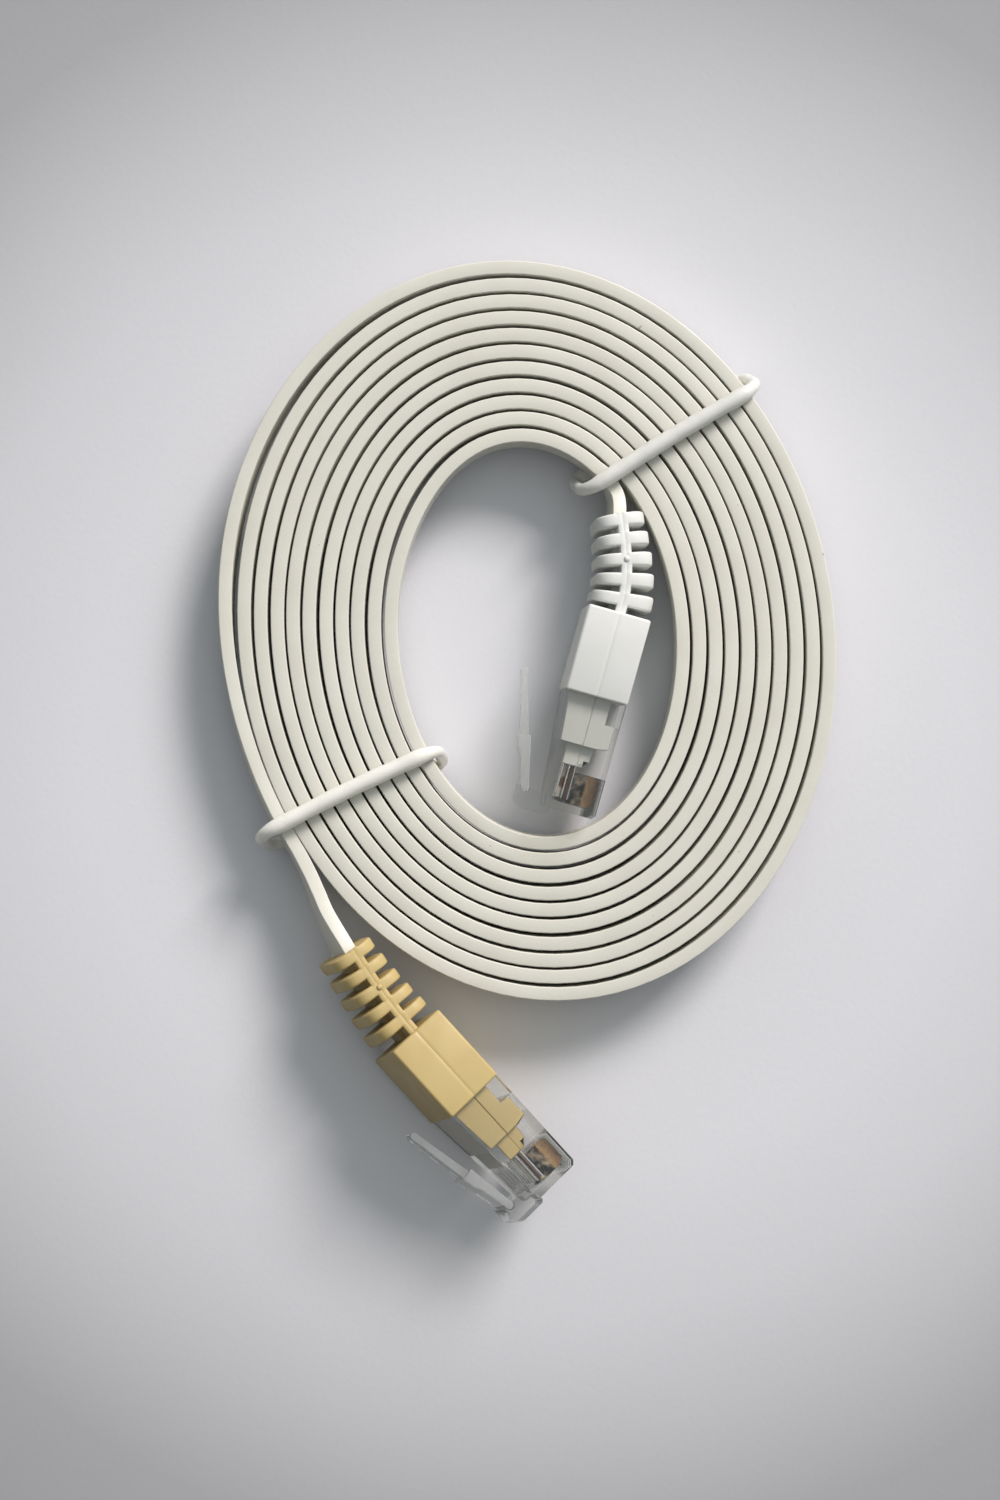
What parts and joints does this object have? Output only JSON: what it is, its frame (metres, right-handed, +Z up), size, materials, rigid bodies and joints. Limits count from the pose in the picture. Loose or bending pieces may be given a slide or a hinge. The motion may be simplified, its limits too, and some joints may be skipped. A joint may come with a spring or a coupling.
{
  "type": "ethernet patch cable",
  "caption": "Flat network patch cable wound on edge into an oval coil held by elastic loops, with a clear modular plug, latch and ribbed boot on each end.",
  "frame": {"origin": "on the surface that the coil lies on, under the middle of the whole cable's box", "axes": "+Z up out of the coil; +Y along the length of the whole cable, from the yellow plug towards the coil's far end; +X to the right of +Y seen from above"},
  "size_m": [0.0776, 0.1213, 0.0148],
  "materials": {
    "cable_jacket": "warm off-white flexible PVC, satin, faintly speckled",
    "elastic_cord": "white translucent elastic cord, soft sheen",
    "white_boot_pvc": "bright white soft PVC, fine matte skin",
    "yellow_boot_pvc": "pale straw-yellow soft PVC, fine matte skin",
    "clear_polycarbonate": "clear polycarbonate, very slightly grey-green",
    "gold_plate": "gold-plated phosphor bronze, worn to copper at the crown",
    "white_orange_wire": "white insulation with an orange stripe",
    "orange_wire": "orange insulation",
    "white_green_wire": "white insulation with a green stripe",
    "blue_wire": "blue insulation",
    "white_blue_wire": "white insulation with a blue stripe",
    "green_wire": "green insulation",
    "white_brown_wire": "white insulation with a brown stripe",
    "brown_wire": "brown insulation"
  },
  "bodies": {
    "root": {"cable_coil": "cable_jacket", "white_end_lead": "cable_jacket", "yellow_end_lead": "cable_jacket", "upper_tie": "elastic_cord", "lower_tie": "elastic_cord", "white_boot": "white_boot_pvc", "white_plug_housing": "clear_polycarbonate", "white_contact_1": "gold_plate", "white_contact_2": "gold_plate", "white_contact_3": "gold_plate", "white_contact_4": "gold_plate", "white_contact_5": "gold_plate", "white_contact_6": "gold_plate", "white_contact_7": "gold_plate", "white_contact_8": "gold_plate", "yellow_boot": "yellow_boot_pvc", "yellow_plug_housing": "clear_polycarbonate", "yellow_contact_1": "gold_plate", "yellow_contact_2": "gold_plate", "yellow_contact_3": "gold_plate", "yellow_contact_4": "gold_plate", "yellow_contact_5": "gold_plate", "yellow_contact_6": "gold_plate", "yellow_contact_7": "gold_plate", "yellow_contact_8": "gold_plate", "white_conductor_1": "white_orange_wire", "white_conductor_2": "orange_wire", "white_conductor_3": "white_green_wire", "white_conductor_4": "blue_wire", "white_conductor_5": "white_blue_wire", "white_conductor_6": "green_wire", "white_conductor_7": "white_brown_wire", "white_conductor_8": "brown_wire", "yellow_conductor_1": "white_orange_wire", "yellow_conductor_2": "orange_wire", "yellow_conductor_3": "white_green_wire", "yellow_conductor_4": "blue_wire", "yellow_conductor_5": "white_blue_wire", "yellow_conductor_6": "green_wire", "yellow_conductor_7": "white_brown_wire", "yellow_conductor_8": "brown_wire"},
    "white_latch": {"white_plug_latch": "clear_polycarbonate"},
    "yellow_latch": {"yellow_plug_latch": "clear_polycarbonate"}
  },
  "joints": [
    {"name": "white_latch_press", "type": "hinge", "parent": "root", "child": "white_latch", "pos_m": [-0.00061, -0.00544, 0.00696], "axis": [-0.042, 0.0117, -0.999], "range_deg": [0, 16], "stiffness_Nm_per_rad": 0.2},
    {"name": "yellow_latch_press", "type": "hinge", "parent": "root", "child": "yellow_latch", "pos_m": [-0.00314, -0.05833, 0.00886], "axis": [-0.2185, -0.1992, -0.9553], "range_deg": [0, 10.5], "stiffness_Nm_per_rad": 0.2}
  ]
}
